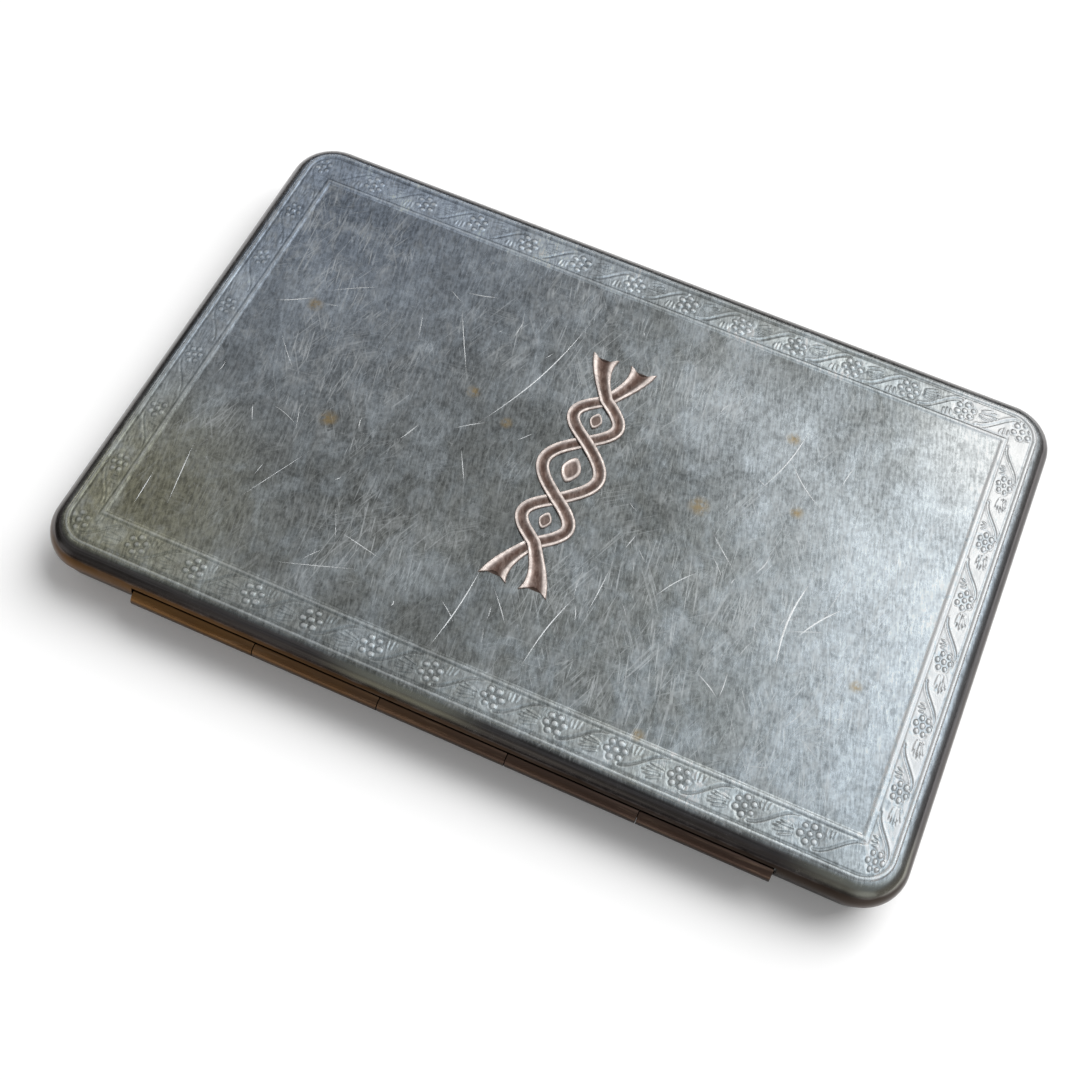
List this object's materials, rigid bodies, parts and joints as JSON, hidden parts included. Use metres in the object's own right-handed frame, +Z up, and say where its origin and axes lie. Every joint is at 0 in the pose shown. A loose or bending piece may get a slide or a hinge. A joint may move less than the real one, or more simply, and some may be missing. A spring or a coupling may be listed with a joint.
{
  "type": "vanity box",
  "caption": "Slim silver vanity box: hinged lid with a mirror over a tray with a powder pan, a rouge pan under a swivel cover, and a thumb button catch.",
  "frame": {"origin": "middle of the flat bottom face, which lies on the table", "axes": "+X along the hinge, to the right seen from the hinge side; +Y from the hinge to the thumb button; +Z up through the closed lid"},
  "size_m": [0.108, 0.0735, 0.0083],
  "materials": {
    "silver": "worn brushed silver, finely scratched",
    "rose_gold": "worn rose gold",
    "gilt": "polished gilt",
    "spring_steel": "spring temper",
    "mirror_glass": "silvered glass with a bevelled edge",
    "card": "plain card",
    "powder": "pressed face powder",
    "rouge": "pressed rouge",
    "velour": "short pile velour"
  },
  "bodies": {
    "base": {"base_bezel": "silver", "base_knuckle_centre": "silver", "base_knuckle_left": "silver", "base_knuckle_right": "silver", "base_shell": "silver", "catch_spring": "spring_steel", "hinge_pin": "spring_steel", "powder_cake": "powder", "powder_pan": "gilt", "powder_puff": "velour", "rouge_cake": "rouge", "rouge_cover_rivet": "silver", "rouge_pan": "gilt", "rouge_puff": "velour", "tray_deck": "silver"},
    "lid": {"lid_shell": "silver", "lid_ornament": "rose_gold", "mirror_frame": "silver", "mirror": "mirror_glass", "mirror_backing": "card", "catch_strike": "silver", "lid_knuckle_left": "silver", "lid_knuckle_right": "silver"},
    "rouge_cover": {"rouge_cover": "silver"},
    "push_button": {"push_button": "silver"}
  },
  "joints": [
    {"name": "lid_hinge", "type": "hinge", "parent": "base", "child": "lid", "pos_m": [0, -0.03585, 0.005], "axis": [1, 0, 0], "range_deg": [0, 180]},
    {"name": "rouge_cover_swivel", "type": "hinge", "parent": "base", "child": "rouge_cover", "pos_m": [0.0385, 0.00128, 0.0052], "axis": [0, 0, 1], "range_deg": [0, 110]},
    {"name": "button_press", "type": "slide", "parent": "base", "child": "push_button", "axis": [0, -1, 0], "range_m": [0, 0.0009], "stiffness_N_per_m": 1500, "springref_m": -0.0005, "deforming": ["catch_spring"]}
  ]
}
